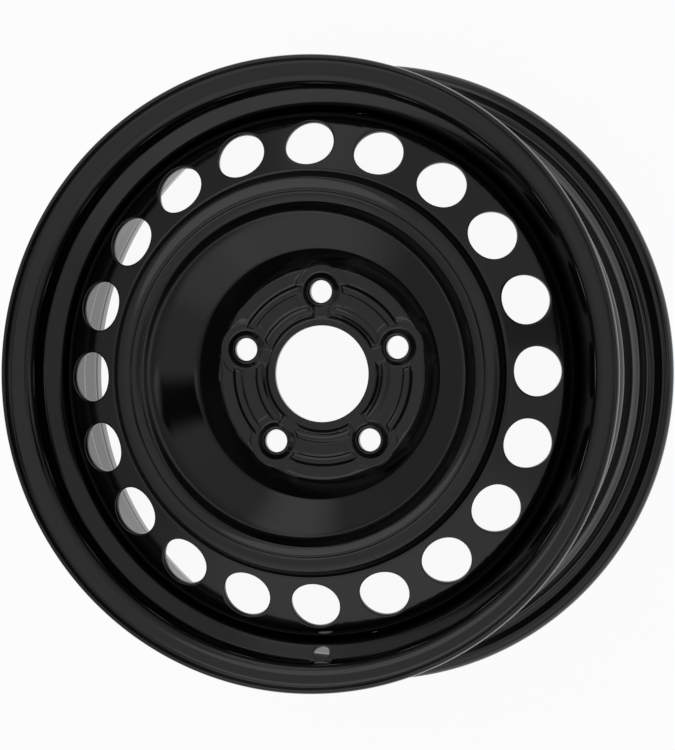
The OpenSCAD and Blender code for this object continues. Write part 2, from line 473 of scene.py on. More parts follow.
@dataclass
class Rim:
    """Rolled hoop: two curled flanges, two bead seats with humps, the well and the valve hole."""

    seat_d: float = 405.6
    width: float = 165.1
    sheet: float = 2.7
    flange_h: float = 17.5
    curl: float = 7.5
    lip_angle: float = 21.5
    heel: float = 6.5
    taper: float = 5.0
    front_seat: float = 15.0
    rear_seat: float = 18.0
    hump_h: float = 1.0
    hump_run: float = 4.5
    well_h: float = 17.3
    well_lean: float = 29.0
    well_floor: float = 38.0
    well_rise: float = 22.0
    foot_bend: float = 8.1
    rise_bend: float = 10.8
    barrel_h: float = 3.3
    valve_d: float = 11.3
    valve_up: float = 1.0
    sectors: int = 36
    columns: int = 8
    row_step: float = 5.0
    row_least: float = 0.6
    lip_step: int = 15

    @property
    def front_crest(self) -> Array:
        """Top of the front hump."""
        return np.array(self.flange(self.front_seat, 1.0)[-1][:2])

    @property
    def well_foot(self) -> Array:
        """Corner where the leaning wall with the valve hole meets the well's floor."""
        crest, well_r = self.front_crest, self.seat_d / 2 - self.well_h
        return np.array([well_r, crest[1] - (crest[0] - well_r) * tan(self.well_lean)])

    def flange(self, seat: float, sign: float) -> list[Triple]:
        """Find the corners of one flange, its bead seat and its hump.

        Args:
            seat: Width of the bead seat, in mm.
            sign: 1 for the front of the wheel, and -1 for the rear.

        Returns:
            Corners from the lip's end to the hump's crest.
        """
        seat_r, edge = self.seat_d / 2, self.width / 2
        flange_r, seat_end = seat_r + self.flange_h, seat_r - seat * tan(self.taper)
        lip_run = self.curl * tan(self.lip_angle / 2)
        lip = np.array([flange_r, edge + self.curl + lip_run])
        end = lip + turned(np.array([0.0, lip_run]), self.lip_angle)
        corners = [
            (*end, 0.0),
            (*lip, self.curl),
            (flange_r, edge, self.curl),
            (seat_r, edge, self.heel),
            (seat_end, edge - seat, self.hump_run),
            (seat_end + self.hump_h, edge - seat - self.hump_run, self.sheet + LEAST_BEND)]
        return [(r, sign * z, bend) for r, z, bend in corners]

    def corners(self) -> list[Triple]:
        """Find the corners of the tyre side.

        Returns:
            Corners from the front lip to the rear lip.
        """
        front, rear = self.flange(self.front_seat, 1.0), self.flange(self.rear_seat, -1.0)
        well_r, well_front = self.well_foot
        barrel_r, well_rear = self.seat_d / 2 - self.barrel_h, well_front - self.well_floor
        well = [
            (well_r, well_front, self.foot_bend),
            (well_r, well_rear, self.rise_bend),
            (barrel_r, well_rear - (barrel_r - well_r) / tan(self.well_rise), self.rise_bend),
            (barrel_r, rear[-1][1] + self.hump_run, self.hump_run)]
        return front + well + rear[::-1]

    def lip(self, start: Array, end: Array) -> Array:
        """Half-round end of the sheet between its two faces."""
        middle = (start + end) / 2
        return np.array([
            middle + turned(start - middle, -a) for a in range(self.lip_step, 180, self.lip_step)])

    def close(self, draft: Draft, grids: list[Array], outlines: tuple[Outline, Outline],
              angles: Array) -> None:
        """Join the two faces over both lips.

        Args:
            draft: Mesh that holds the faces.
            grids: Point numbers of the tyre side and of the inner side.
            outlines: Sections of the tyre side and of the inner side.
            angles: Angles of the columns, in radians.
        """
        (near, far), (tyre, inner) = grids, outlines
        rear, front = (
            draft.add(around(self.lip(start, end)[:, None, :], angles[None, :])) for start, end in (
                (tyre.points[-1], inner.points[-1]), (inner.points[0], tyre.points[0])))
        draft.grid(np.vstack([near[-1:], rear, far[-1:]]), flip=True)
        draft.grid(np.vstack([far[:1], front, near[:1]]), flip=True)

    def build(self) -> tuple[Draft, Draft]:
        """Mesh the hoop.

        Returns:
            A plain sector, and the sector with the valve hole.
        """
        corners = self.corners()
        outlines = (Outline(rounded(corners)), Outline(rounded(other_face(corners, self.sheet))))
        half = math.pi / self.sectors
        plain, drilled = Draft(), Draft()
        angles = np.linspace(-half, half, self.columns + 1)
        fine = np.linspace(-half, half, 2 * self.columns + 1)
        way = unit(self.front_crest - self.well_foot)
        on_tyre = (self.front_crest + self.well_foot) / 2 + self.valve_up * way
        middles = (on_tyre, on_tyre + left_of(way) * self.sheet)
        sector = DrilledSector(
            drilled, fine, radius=self.valve_d / 2, room=7.6, rows=8, columns=12, edge=0.5)
        grids, faces = [], []
        for outline, point, side in zip(outlines, middles, Side):
            numbers, rows = sector.face(outline, point, (0.0, self.row_step, self.row_least), side)
            grids.append(plain.add(around(outline.at(rows)[:, None, :], angles[None, :])))
            faces.append(numbers)
        plain.grid(grids[0], flip=True)
        plain.grid(grids[1])
        self.close(plain, grids, outlines, angles)
        sector.wall()
        self.close(drilled, faces, outlines, fine)
        return plain, drilled


@dataclass(frozen=True)
class HubFace:
    """How one face of the hub is meshed: its rows, and the loops and rings round a lug hole."""

    height: Callable[[Array, Array], Array]
    radii: Array
    side: Side
    loops: int
    rings: list[float]
    wall: list[tuple[float, float]]


@dataclass
class Disc:
    """Pressed dish: bore, collar, ridges, lug bosses, pad, bowl, crown, vents and flange."""

    sheet: float = 4.0
    inset: float = 43.0
    bore_d: float = 67.1
    bore_chamfer: float = 1.0
    bore_edge: float = 0.25
    collar_h: float = 3.0
    collar_w: float = 5.2
    collar_bend: float = 2.0
    groove_d: float = 83.2
    groove_w: float = 0.4
    inner_ridge_d: float = 90.4
    inner_ridge_h: float = 3.0
    outer_ridge_d: float = 119.0
    outer_ridge_h: float = 2.3
    ridge_run: float = 3.5
    ridge_edge: float = 2.1
    ridge_foot: float = 2.2
    channel_h: float = 0.6
    pad_inner_d: float = 129.2
    pad_outer_d: float = 146.2
    knee_d: float = 174.0
    knee_z: float = 20.4
    knee_bend: float = 12.0
    bowl_d: float = 224.6
    bowl_z: float = 36.9
    bowl_bend: float = 30.0
    crown_inner_d: float = 239.2
    crown_outer_d: float = 272.6
    crown_edge_z: float = 46.6
    crown_rise: float = 4.0
    crown_bend: float = 18.0
    crease_r: float = 126.2
    crease_depth: float = 0.8
    crease_half: float = 1.5
    step_h: float = 4.4
    step_edge: float = 1.6
    step_foot: float = 0.12
    step_w: float = 2.2
    step_depth: float = 1.5
    band_slope: float = 28.4
    flange_bend: float = 16.0
    flange_depth: float = 13.0
    flange_r: float = 182.75
    vent_count: int = 20
    vent_d: float = 34.3
    vent_circle: float = 320.4
    lug_count: int = 5
    lug_circle: float = 114.3
    lug_hole_d: float = 15.8
    seat_top_d: float = 17.2
    seat_angle: float = 60.0
    boss_top_d: float = 18.4
    boss_foot_d: float = 29.0
    boss_h: float = 4.3
    boss_edge: float = 0.3
    boss_slope: float = 41.0
    relief_h: float = 2.4
    land_d: float = 37.0
    land_h: float = 0.2
    land_fall: float = 0.6
    land_reach: float = 5.0
    land_wall: float = 3.0
    bridge_w: float = 9.0
    small_edge: float = 0.8
    small_bend: float = 1.2
    soft_bend: float = 3.0
    press_soft: float = 0.25
    under_sheet: float = -1.0
    split_r: float = 80.0
    front_step: float = 1.3
    front_least: float = 0.5
    dish_least: float = 0.24
    back_step: float = 3.0
    columns: int = 320
    land_rings: tuple[float, ...] = (0.45, 0.1, -0.3)
    ring_start: float = 0.8
    ring_step: float = 0.68
    ring_stop: float = 0.3
    hole_edge: float = 0.1
    seat_edge: float = 0.12
    lug_rows: float = 2.2
    lug_columns: float = 2.0
    front_loops: int = 7
    back_loops: int = 3
    back_every: int = 3

    def __post_init__(self) -> None:
        """Draw the two outlines of the section, with heights above the mounting face."""
        t = self.sheet
        bore, inner, outer = self.bore_d / 2, self.inner_ridge_d / 2, self.outer_ridge_d / 2
        groove_r, pad_r = self.groove_d / 2, self.pad_inner_d / 2
        crown_in, crown_out = self.crown_inner_d / 2, self.crown_outer_d / 2
        step_r = crown_out + self.step_h
        crown_corner = t + self.small_bend
        hub = [
            (bore, t + self.collar_h, 0.0),
            (bore + self.collar_w, t + self.collar_h, self.collar_bend),
            (groove_r - self.groove_w, t + self.channel_h / 2, self.small_edge),
            (groove_r, t + self.channel_h / 2, self.small_edge),
            (inner, t + self.inner_ridge_h, t),
            (inner + self.ridge_run, t + self.channel_h, self.soft_bend),
            (outer - self.ridge_foot, t + self.channel_h, self.small_edge),
            (outer - self.small_edge, t + self.outer_ridge_h, self.small_bend),
            (pad_r - self.ridge_edge, t + self.outer_ridge_h, self.small_bend),
            (pad_r, t, self.small_edge)]
        hub_back = [
            (bore, self.collar_h, 0.0),
            (bore + t, self.collar_h, t),
            (groove_r, self.channel_h, t),
            (outer, self.channel_h, self.soft_bend),
            (pad_r, 0.0, self.soft_bend)]
        bowl = [
            (self.pad_outer_d / 2, t, self.soft_bend),
            (self.knee_d / 2, self.knee_z, self.knee_bend),
            (self.bowl_d / 2, self.bowl_z, self.bowl_bend),
            (crown_in, self.crown_edge_z, crown_corner),
            ((crown_in + crown_out) / 2, self.crown_edge_z + self.crown_rise, self.crown_bend)]
        groove = [
            (crown_out, self.crown_edge_z, self.step_edge),
            (step_r - self.step_w, self.band_z(step_r) - self.step_depth, self.step_foot),
            (step_r, self.band_z(step_r), self.small_bend)]
        plain_step = [
            (crown_out, self.crown_edge_z, crown_corner),
            (step_r, self.band_z(step_r), self.soft_bend)]
        flange = [
            (self.flange_r, self.band_z(self.flange_r), self.flange_bend),
            (self.flange_r, -self.flange_depth, 0.0)]
        front = rounded(hub + bowl + groove + flange)
        dish_back = other_face(hub[-1:] + bowl + plain_step + flange, t)
        self.front = Outline(creased(front, self.crease_r, self.crease_depth, self.crease_half))
        self.back = Outline(rounded(hub_back + dish_back[1:]))
        self.lug_r = self.lug_circle / 2
        self.land_z = t + self.channel_h + self.land_h
        self.boss_z = t + self.boss_h

    def band_z(self, radius: float) -> float:
        """Height of the band with the vents at a radius, above the mounting face."""
        step_r = self.crown_outer_d / 2 + self.step_h
        return self.crown_edge_z - self.step_h - (radius - step_r) * tan(self.band_slope)

    def lug_frame(self, x: Array, y: Array) -> tuple[Array, Array]:
        """Distances from the nearest lug's middle, outwards and round the axis.

        Args:
            x: First coordinates, in mm.
            y: Second coordinates, in mm; the first lug is on +X here.

        Returns:
            Outward and sideways distances.
        """
        sector = 2 * math.pi / self.lug_count
        angle = np.arctan2(y, x)
        angle = angle - np.round(angle / sector) * sector
        r = np.hypot(x, y)
        return r * np.cos(angle) - self.lug_r, r * np.sin(angle)

    def soft_max(self, a: Array, b: Array) -> Array:
        """The higher of two surfaces, with a small fillet where they cross."""
        near = np.clip(1 - np.abs(a - b) / self.press_soft, 0, 1)
        return np.maximum(a, b) + near ** 2 * self.press_soft / 4

    def soft_min(self, a: Array, b: Array) -> Array:
        """The lower of two surfaces, with a small round where they cross."""
        return -self.soft_max(-a, -b)

    def front_height(self, x: Array, y: Array) -> Array:
        """Height of the hub's front face above the mounting face.

        Args:
            x: First coordinates, in mm.
            y: Second coordinates, in mm.

        Returns:
            Heights in mm.
        """
        r = np.hypot(x, y)
        out, side = self.lug_frame(x, y)
        d = np.hypot(out, side)
        top, land, low = self.boss_top_d / 2, self.land_d / 2, self.land_z
        z = np.interp(r, self.front.points[:, 0], self.front.points[:, 1])
        wall = low + np.maximum(0, d - self.boss_foot_d / 2)
        foot = low + self.land_wall * np.maximum(0, d - land)
        z = self.soft_min(z, np.where(r > self.pad_inner_d / 2, np.minimum(wall, foot), wall))
        flank_top, flank_in = self.boss_z - self.boss_edge / 2, top + self.boss_edge
        flank_out = flank_in + (flank_top - low) / tan(self.boss_slope)
        boss = np.interp(
            d, [top, flank_in, flank_out, land, land + self.land_reach],
            [self.boss_z, flank_top, low, low, low - self.land_reach * self.land_fall])
        z = self.soft_max(z, boss)
        bridge_top, half = self.sheet + self.inner_ridge_h - self.channel_h, self.bridge_w / 2
        past = np.maximum(0, np.abs(side) - half)
        bridge = bridge_top - past * (bridge_top - self.sheet) / half
        reach = self.lug_r - self.bore_d / 2 - self.sheet
        there = (out < -top) & (out > -reach)
        return self.soft_max(z, np.where(there, bridge, self.under_sheet))

    def back_height(self, x: Array, y: Array) -> Array:
        """Height of the hub's back face, with the relief behind each lug.

        Args:
            x: First coordinates, in mm.
            y: Second coordinates, in mm.

        Returns:
            Heights in mm.
        """
        r = np.hypot(x, y)
        d = np.hypot(*self.lug_frame(x, y))
        z = np.interp(r, self.back.points[:, 0], self.back.points[:, 1])
        top, foot = self.boss_top_d / 2, (self.boss_foot_d - self.sheet) / 2
        relief = np.interp(d, [top, foot, foot + 1], [self.relief_h, 0.0, self.under_sheet])
        return np.maximum(z, relief)

    def lift(self, x: Array, y: Array, z: Array) -> Array:
        """Points in the wheel's frame from heights above the mounting face."""
        return np.stack(np.broadcast_arrays(x, y, z + self.inset), axis=-1)

    def hub_faces(self) -> tuple[HubFace, HubFace]:
        """Say how the two faces of the hub are meshed.

        Returns:
            The front, with finer rings round the lug holes, and the back.
        """
        hole, seat, land = self.lug_hole_d / 2, self.seat_top_d / 2, self.land_d / 2
        seat_foot = self.boss_z - (seat - hole) / tan(self.seat_angle / 2)
        rings = [
            *(land + shift for shift in self.land_rings),
            *np.arange(land - self.ring_start, seat + self.ring_stop, -self.ring_step),
            seat + self.hole_edge]
        end = self.front.run_at_radius(self.split_r)
        rows = self.front.rows(0.0, end, self.front_step, self.front_least)
        back_start = self.bore_d / 2 + self.bore_chamfer
        back_count = math.ceil((self.split_r - back_start) / self.back_step) + 1
        front = HubFace(
            height=self.front_height, radii=self.front.at(rows)[:, 0], side=Side.NEAR,
            loops=self.front_loops, rings=rings, wall=[
                (seat, self.boss_z - self.seat_edge),
                (hole + self.hole_edge, seat_foot + self.seat_edge),
                (hole, seat_foot - self.hole_edge)])
        back = HubFace(
            height=self.back_height, radii=np.linspace(back_start, self.split_r, back_count),
            side=Side.FAR, loops=self.back_loops,
            rings=[rings[0], *rings[2::self.back_every], hole + self.hole_edge],
            wall=[(hole, self.relief_h + self.hole_edge)])
        return front, back

    def hub_face(self, draft: Draft, angles: Array,
                 face: HubFace) -> tuple[Array, Array, Array]:
        """Mesh one face of a lug's sector of the hub.

        Args:
            draft: Mesh that takes the face.
            angles: Angles of the columns, in radians.
            face: Which face, and how it is meshed.

        Returns:
            Point numbers along the bore, those round the lug hole, and the bearings of the latter.
        """
        flip, land, columns = face.side is Side.NEAR, self.land_d / 2, len(angles) - 1
        x, y = face.radii[:, None] * np.cos(angles), face.radii[:, None] * np.sin(angles)
        room = land + self.lug_rows
        rows = tuple(
            int(np.argmin(np.abs(face.radii[:-1] - self.lug_r - shift))) for shift in (-room, room))
        reach = math.degrees(math.asin((land + self.lug_columns) / self.lug_r))
        spread = math.ceil(reach * self.columns / 360)
        span = (columns // 2 - spread, columns // 2 + spread)
        numbers = draft.add(self.lift(x, y, face.height(x, y)))
        r, c = draft.grid_round(numbers, rows, span, flip)
        bearing = np.arctan2(y[r, c], x[r, c] - self.lug_r)
        across, along = np.cos(bearing), np.sin(bearing)
        first_x, first_y = self.lug_r + face.rings[0] * across, face.rings[0] * along
        places = [
            ((1 - share) * first_x + share * x[r, c], (1 - share) * first_y + share * y[r, c])
            for share in np.linspace(1, 0, face.loops + 1)[1:-1]]
        places += [(self.lug_r + ring * across, ring * along) for ring in face.rings]
        loops = [numbers[r, c]]
        loops += [draft.add(self.lift(px, py, face.height(px, py))) for px, py in places]
        loops += [
            draft.add(self.lift(self.lug_r + ring * across, ring * along, np.array(z)))
            for ring, z in face.wall]
        draft.loops(loops, flip=flip)
        return numbers[0], loops[-1], bearing

    def hub(self) -> Draft:
        """Mesh one lug's sector of the hub.

        Returns:
            The sector, from the bore to the foot of the bowl.
        """
        draft = Draft()
        half = math.pi / self.lug_count
        angles = np.linspace(-half, half, self.columns // self.lug_count + 1)
        edges, rims, bearings = zip(*(
            self.hub_face(draft, angles, face) for face in self.hub_faces()))
        draft.band(rims, bearings, flip=True)
        top = self.inset + self.sheet + self.collar_h - self.bore_edge
        foot = self.inset + self.collar_h + self.bore_chamfer
        section = np.array([[self.bore_d / 2, z] for z in (top, foot)])
        wall = draft.add(around(section[:, None, :], angles[None, :]))
        draft.grid(np.vstack([edges[0][None], wall, edges[1][None]]))
        return draft

    def dish(self) -> Draft:
        """Mesh one vent's sector of the dish.

        Returns:
            The sector, from the foot of the bowl to the flange's end.
        """
        draft = Draft()
        half = math.pi / self.vent_count
        angles = np.linspace(-half, half, self.columns // self.vent_count + 1)
        sector = DrilledSector(
            draft, angles, radius=self.vent_d / 2, room=20.0, rows=14, columns=14, edge=0.7)
        vent_r, raised = self.vent_circle / 2, np.array([0.0, self.inset])
        on_front = np.array([vent_r, self.band_z(vent_r)])
        on_back = on_front + turned(np.array([0.0, -self.sheet]), -self.band_slope)
        faces = []
        for outline, point, side, step, least in (
                (self.front, on_front, Side.NEAR, self.front_step, self.dish_least),
                (self.back, on_back, Side.FAR, self.back_step, self.back_step)):
            lifted = Outline(outline.points + raised)
            start = lifted.run_at_radius(self.split_r)
            faces.append(sector.face(lifted, point + raised, (start, 2 * step, least), side)[0])
        sector.wall()
        draft.grid(np.vstack([faces[0][-1:], faces[1][-1:]]), flip=True)
        return draft


@dataclass
class WeldBeads:
    """Run of separate fillet welds that joins the disc's flange to the well."""

    count: int = 10
    angle: float = 16.0
    leg: float = 3.6
    corner_r: float = 182.75
    corner_z: float = 29.95
    end_least: float = 0.004
    ripple: float = 0.16
    ripple_pitch: float = 1.7
    ripple_lag: float = 0.9
    drifts: tuple[tuple[float, float], ...] = ((0.9, 0.37), (0.6, 0.83))
    steps: int = 150
    section: int = 9

    def build(self) -> Draft:
        """Mesh one bead.

        Returns:
            A quarter round with ripples and domed ends.
        """
        draft = Draft()
        half = math.radians(self.angle / 2) * self.corner_r
        along = np.linspace(-half, half, self.steps + 1)
        past = np.clip((np.abs(along) - (half - self.leg)) / self.leg, 0, 1)
        dome = np.sqrt(np.maximum(1 - past ** 2, self.end_least))[:, None]
        phase = 2 * math.pi * along / self.ripple_pitch
        for amount, rate in self.drifts:
            phase = phase + amount * np.sin(along * rate)
        turn = np.linspace(0, math.pi / 2, self.section)
        wave = np.cos(phase[:, None] - self.ripple_lag * np.sin(turn))
        size = self.leg * dome - self.ripple * dome * (1 - wave) / 2
        skin = np.array([self.corner_r, self.corner_z]) - size[..., None] * np.stack(
            [np.cos(turn), np.sin(turn)], axis=-1)
        corner = np.broadcast_to([self.corner_r, self.corner_z], (len(along), 1, 2))
        angles = (along / self.corner_r)[:, None]
        loops = draft.add(around(np.concatenate([corner, skin], axis=1), angles))
        draft.loops(list(loops))
        draft.faces += [loops[0].tolist(), loops[-1].tolist()]
        return draft


# Node trees

def add_node(tree: Tree, kind: str, inputs: dict[str | int, Any] | None = None,
             **settings: str) -> bpy.types.Node:
    """Add a node to a tree.

    Args:
        tree: Tree that takes the node.
        kind: Kind of node.
        inputs: Value of each input or the socket that feeds it, by the input's name or number.
        settings: Choices that belong to the kind of node.

    Returns:
        The new node.
    """
    node = tree.nodes.new(kind)
    for name, choice in settings.items():
        setattr(node, name, choice)
    for key, value in (inputs or {}).items():
        if isinstance(value, Socket):
            tree.links.new(value, node.inputs[key])
        else:
            node.inputs[key].default_value = value
    return node


def add_level(tree: Tree, value: Socket, span: tuple[float, float],
              levels: tuple[float, float], ramp: Ramp) -> Socket:
    """Add a level that runs between two ends while a value runs over a span.

    Args:
        tree: Tree that takes the node.
        value: Socket of the value.
        span: Values at the two ends.
        levels: Levels at the two ends.
        ramp: How the level runs between them.

    Returns:
        Socket of the level.
    """
    return add_node(tree, "ShaderNodeMapRange", {
        "Value": value, "From Min": span[0], "From Max": span[1], "To Min": levels[0],
        "To Max": levels[1]}, interpolation_type=ramp.value).outputs["Result"]


def add_maths(tree: Tree, operation: str, *terms: Any) -> Socket:
    """Add a step of arithmetic on values or sockets, and return its socket."""
    return add_node(tree, "ShaderNodeMath", dict(enumerate(terms)), operation=operation).outputs[0]


# Finishes

@dataclass(frozen=True)
class Paint:
    """Gloss dip paint on pressed steel: a faint orange peel, and a gloss that drifts a little."""

    name: str
    colour: Triple
    tint: Triple
    gloss: tuple[float, float]
    peel: float
    peel_pitch: float
    peel_detail: float = 1.0
    drift_scale: float = 14.0
    drift_detail: float = 4.0
    drift_span: tuple[float, float] = (0.3, 0.7)
    ior: float = 1.5

    def material(self) -> bpy.types.Material:
        """Build the paint's nodes.

        Returns:
            The material.
        """
        material = bpy.data.materials.new(self.name)
        material.use_nodes = True
        tree = material.node_tree
        shader = tree.nodes["Principled BSDF"]
        shader.inputs["IOR"].default_value = self.ior
        place = add_node(tree, "ShaderNodeTexCoord").outputs["Object"]
        drift = add_node(tree, "ShaderNodeTexNoise", {
            "Vector": place, "Scale": self.drift_scale, "Detail": self.drift_detail}).outputs["Fac"]
        tone = add_node(tree, "ShaderNodeMix", {
            "Factor": drift, "A": (*self.colour, 1.0), "B": (*self.tint, 1.0)}, data_type="RGBA")
        skin = add_node(tree, "ShaderNodeTexNoise", {
            "Vector": place, "Scale": 1 / (self.peel_pitch * MM), "Detail": self.peel_detail})
        bump = add_node(tree, "ShaderNodeBump", {
            "Strength": 1.0, "Distance": self.peel * MM, "Height": skin.outputs["Fac"]})
        for name, socket in (
                ("Roughness", add_level(tree, drift, self.drift_span, self.gloss, Ramp.EVEN)),
                ("Base Color", tone.outputs["Result"]),
                ("Normal", bump.outputs["Normal"])):
            tree.links.new(socket, shader.inputs[name])
        return material


SHEET_PAINT = Paint(
    name="gloss_black_on_sheet", colour=(0.0005, 0.0005, 0.0006), tint=(0.0010, 0.0010, 0.0012),
    gloss=(0.07, 0.12), peel=0.006, peel_pitch=3.2)
WELD_PAINT = Paint(
    name="gloss_black_on_weld", colour=(0.0040, 0.0041, 0.0044), tint=(0.0056, 0.0057, 0.0060),
    gloss=(0.14, 0.24), peel=0.012, peel_pitch=1.4)


# Repeats round the axis

class RepeatRoundAxis:
    """Geometry Nodes tree that repeats a sector round the Z axis and closes the seams."""

    NAME = "repeat_round_axis"
    SEAM = 0.00002
    INPUTS = {
        "Count": "Int", "Left out": "Int", "Start": "Float", "Seam": "Float",
        "Material": "Material"}

    def __init__(self) -> None:
        """Build the tree once."""
        tree = bpy.data.node_groups.new(self.NAME, "GeometryNodeTree")
        face = tree.interface
        face.new_socket("Geometry", in_out="INPUT", socket_type="NodeSocketGeometry")
        self.sockets = [
            face.new_socket(name, in_out="INPUT", socket_type="NodeSocket" + kind).identifier
            for name, kind in self.INPUTS.items()]
        face.new_socket("Geometry", in_out="OUTPUT", socket_type="NodeSocketGeometry")
        given = add_node(tree, "NodeGroupInput").outputs
        places = add_node(tree, "GeometryNodePoints", {"Count": given["Count"]})
        index = add_node(tree, "GeometryNodeInputIndex").outputs[0]
        part = add_maths(tree, "DIVIDE", index, given["Count"])
        turn = add_maths(tree, "MULTIPLY_ADD", part, 2 * math.pi, given["Start"])
        angles = add_node(tree, "ShaderNodeCombineXYZ", {"Z": turn})
        rotation = add_node(tree, "FunctionNodeEulerToRotation", {0: angles.outputs[0]})
        wanted = add_node(
            tree, "FunctionNodeCompare", data_type="INT", operation="GREATER_EQUAL")
        whole_numbers = [socket for socket in wanted.inputs if socket.type == "INT"]
        for socket, term in zip(whole_numbers, (index, given["Left out"])):
            tree.links.new(term, socket)
        copies = add_node(tree, "GeometryNodeInstanceOnPoints", {
            "Points": places.outputs[0], "Selection": wanted.outputs[0],
            "Instance": given["Geometry"], "Rotation": rotation.outputs[0]})
        whole = add_node(tree, "GeometryNodeRealizeInstances", {0: copies.outputs[0]})
        merged = add_node(tree, "GeometryNodeMergeByDistance", {
            "Geometry": whole.outputs[0], "Distance": given["Seam"]})
        painted = add_node(tree, "GeometryNodeSetMaterial", {
            "Geometry": merged.outputs[0], "Material": given["Material"]})
        add_node(tree, "NodeGroupOutput", {0: painted.outputs[0]})
        self.tree = tree

    def mesh(self, sector: Draft, name: str, material: bpy.types.Material, count: int,
             start: float, left_out: int = 0) -> bpy.types.Mesh:
        """Repeat a sector and return the result as a plain mesh.

        Args:
            sector: The sector, with +X through its middle.
            name: Name of the mesh.
            material: Finish of every copy.
            count: Number of places round the axis.
            start: Angle of the first place, in degrees.
            left_out: Number of places, from the first, that stay empty.

        Returns:
            The repeated mesh.
        """
        carrier = bpy.data.objects.new(name + "_sector", sector.mesh(name + "_sector"))
        bpy.context.scene.collection.objects.link(carrier)
        modifier = carrier.modifiers.new("repeat", "NODES")
        modifier.node_group = self.tree
        values = (count, left_out, math.radians(start), self.SEAM, material)
        for socket, value in zip(self.sockets, values):
            modifier[socket] = value
        bpy.context.view_layer.update()
        evaluated = carrier.evaluated_get(bpy.context.evaluated_depsgraph_get())
        mesh = bpy.data.meshes.new_from_object(evaluated)
        mesh.name = name
        bpy.data.objects.remove(carrier)
        return mesh


SHARP_ANGLE = 50.0


def piece(name: str, meshes: list[bpy.types.Mesh], node: str,
          material: bpy.types.Material) -> bpy.types.Object:
    """Join meshes into one closed piece that stands for a CAD node.

    Args:
        name: Name of the piece.
        meshes: Its meshes, which share the points on their seams.
        node: CAD node that it stands for.
        material: Its finish.

    Returns:
        The piece, riding on the wheel's one body.
    """
    shape = bmesh.new()
    for mesh in meshes:
        shape.from_mesh(mesh)
    bmesh.ops.remove_doubles(shape, verts=shape.verts, dist=RepeatRoundAxis.SEAM)
    bmesh.ops.recalc_face_normals(shape, faces=shape.faces)
    open_edges = sum(1 for edge in shape.edges if len(edge.link_faces) != 2)
    joined = bpy.data.meshes.new(name)
    shape.to_mesh(joined)
    shape.free()
    joined.materials.clear()
    joined.materials.append(material)
    joined.polygons.foreach_set("material_index", np.zeros(len(joined.polygons), np.int32))
    joined.polygons.foreach_set("use_smooth", np.ones(len(joined.polygons), bool))
    joined.set_sharp_from_angle(angle=math.radians(SHARP_ANGLE))
    result = bpy.data.objects.new(name, joined)
    bpy.context.scene.collection.objects.link(result)
    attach(result, "root")
    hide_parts(node)
    points = np.array([v.co for v in joined.vertices])
    off = np.abs(np.array([points.min(0), points.max(0)]) - np.array(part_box(node))).max() / MM
    triangles = sum(len(p.vertices) - 2 for p in joined.polygons)
    log.info("%s: %d triangles, %d open edges, box off the node's by %.2f mm",
             name, triangles, open_edges, off)
    return result


# Stage

@dataclass(frozen=True)
class Panel:
    """Soft light panel, or with a negative strength a dark gap, in the room around the wheel."""

    towards: Triple
    spread: float
    strength: float


ROOM_PANELS = (
    Panel(towards=(0.79, 0.20, 0.58), spread=15.0, strength=-0.58),
    Panel(towards=(0.42, -0.72, 0.55), spread=24.0, strength=0.30),
    Panel(towards=(0.88, 0.10, 0.44), spread=13.0, strength=0.50),
    Panel(towards=(-0.12, 0.93, 0.35), spread=20.0, strength=0.55),
    Panel(towards=(-0.24, -0.87, 0.42), spread=40.0, strength=0.45),
    Panel(towards=(0.45, -0.10, 0.88), spread=14.0, strength=-0.30))


